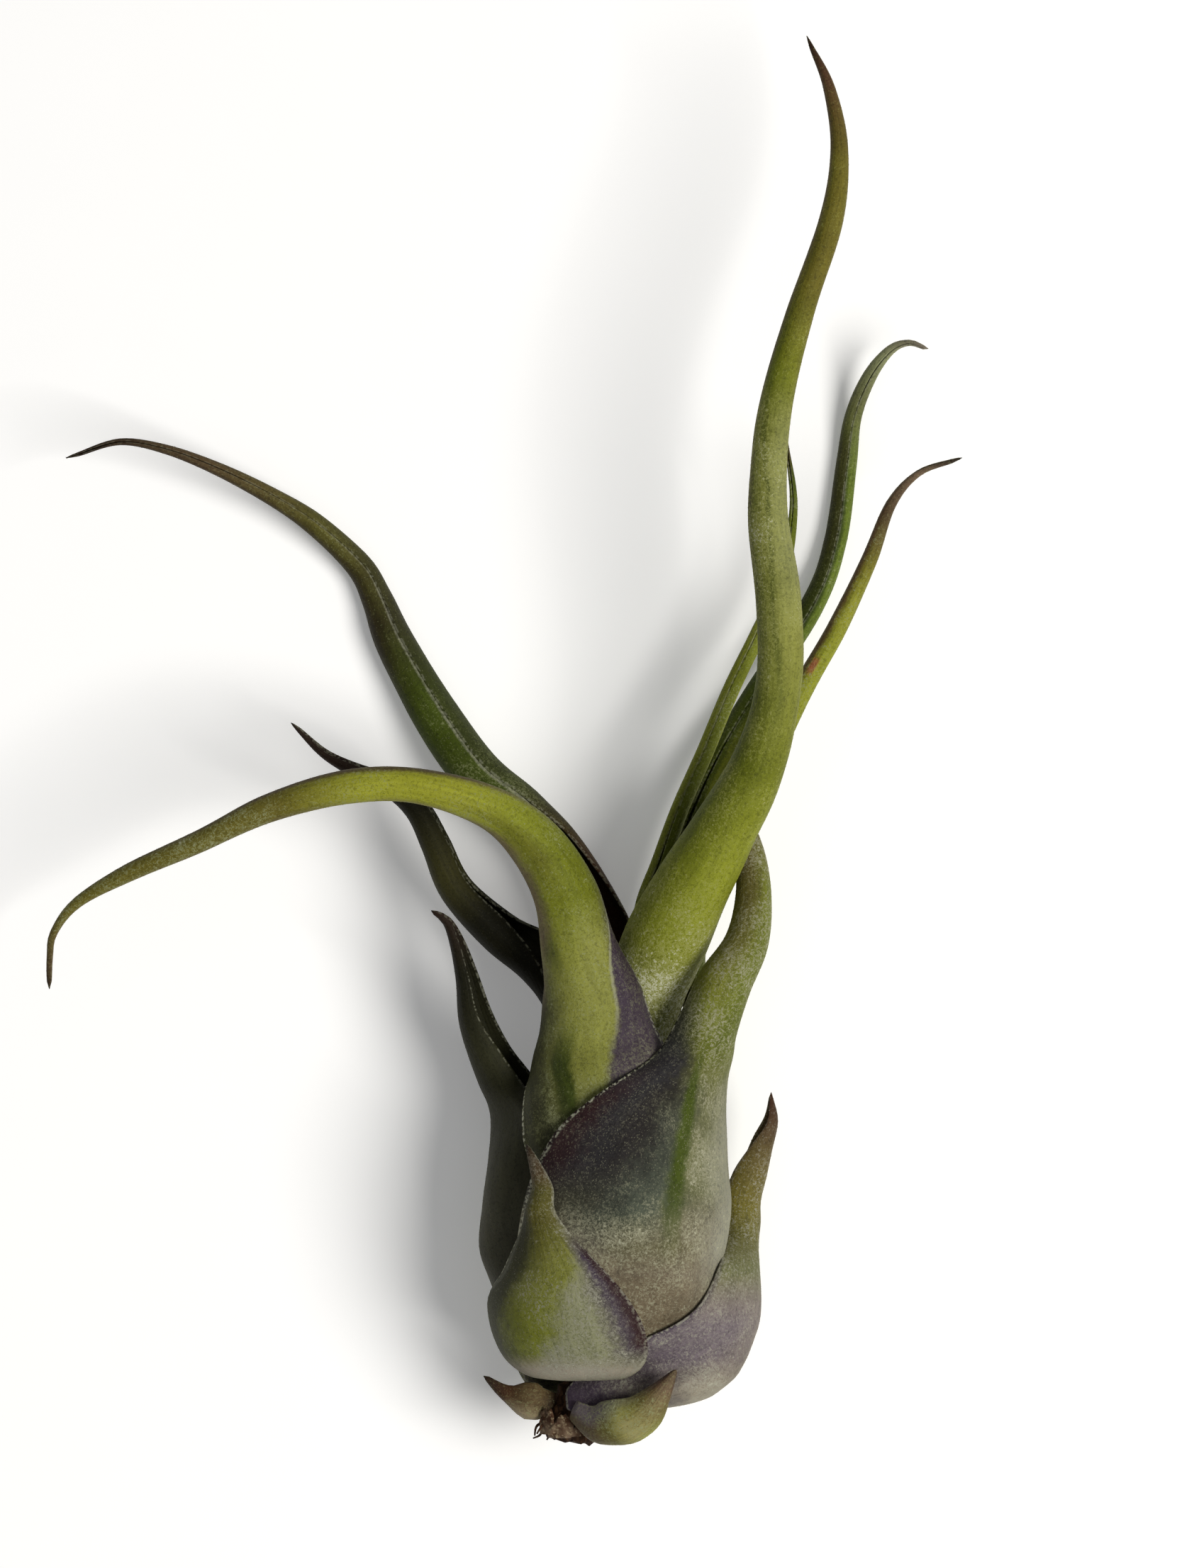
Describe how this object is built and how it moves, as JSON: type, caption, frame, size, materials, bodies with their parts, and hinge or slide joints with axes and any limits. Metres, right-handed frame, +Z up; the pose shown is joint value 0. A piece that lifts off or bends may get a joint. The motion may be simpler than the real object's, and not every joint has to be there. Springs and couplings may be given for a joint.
{
  "type": "medusa's head air plant",
  "caption": "Air plant with a swollen bulb of overlapping leaf sheaths and rolled leaves that twist outwards, lying on its back as picked.",
  "frame": {"origin": "middle of the small flat spot on the back of the bulb that the plant lies on", "axes": "+Z up from the surface, +Y along the plant from its roots to its leaf tips, +X to the right seen from above"},
  "size_m": [0.128, 0.1979, 0.036],
  "materials": {
    "yellow_leaf": "velvety matt yellow green with olive blotches, brown towards the tips",
    "olive_leaf": "velvety matt olive and silver grey, dry brown at the tip",
    "grey_leaf": "velvety matt grey green to grey purple",
    "dark_leaf": "velvety matt very dark green",
    "green_leaf": "velvety matt fresh mid green",
    "dried_leaf": "matt dry brown beige",
    "stem": "rough dark brown"
  },
  "bodies": {
    "root": {"leaf_01_bottom_left": "dried_leaf", "leaf_02_bottom_front": "yellow_leaf", "leaf_03_front_left_short": "olive_leaf", "leaf_04_right_short": "grey_leaf", "leaf_05_back_short": "grey_leaf", "leaf_06_front_right": "grey_leaf", "leaf_07_arching_left": "yellow_leaf", "leaf_08_left_short": "dark_leaf", "leaf_09_right_lower": "yellow_leaf", "leaf_10_left_middle": "dark_leaf", "leaf_11_tall_centre": "yellow_leaf", "leaf_12_right_upper": "green_leaf", "leaf_13_upper_left": "dark_leaf", "leaf_14_inner": "green_leaf", "stem_with_roots": "stem"}
  },
  "joints": []
}
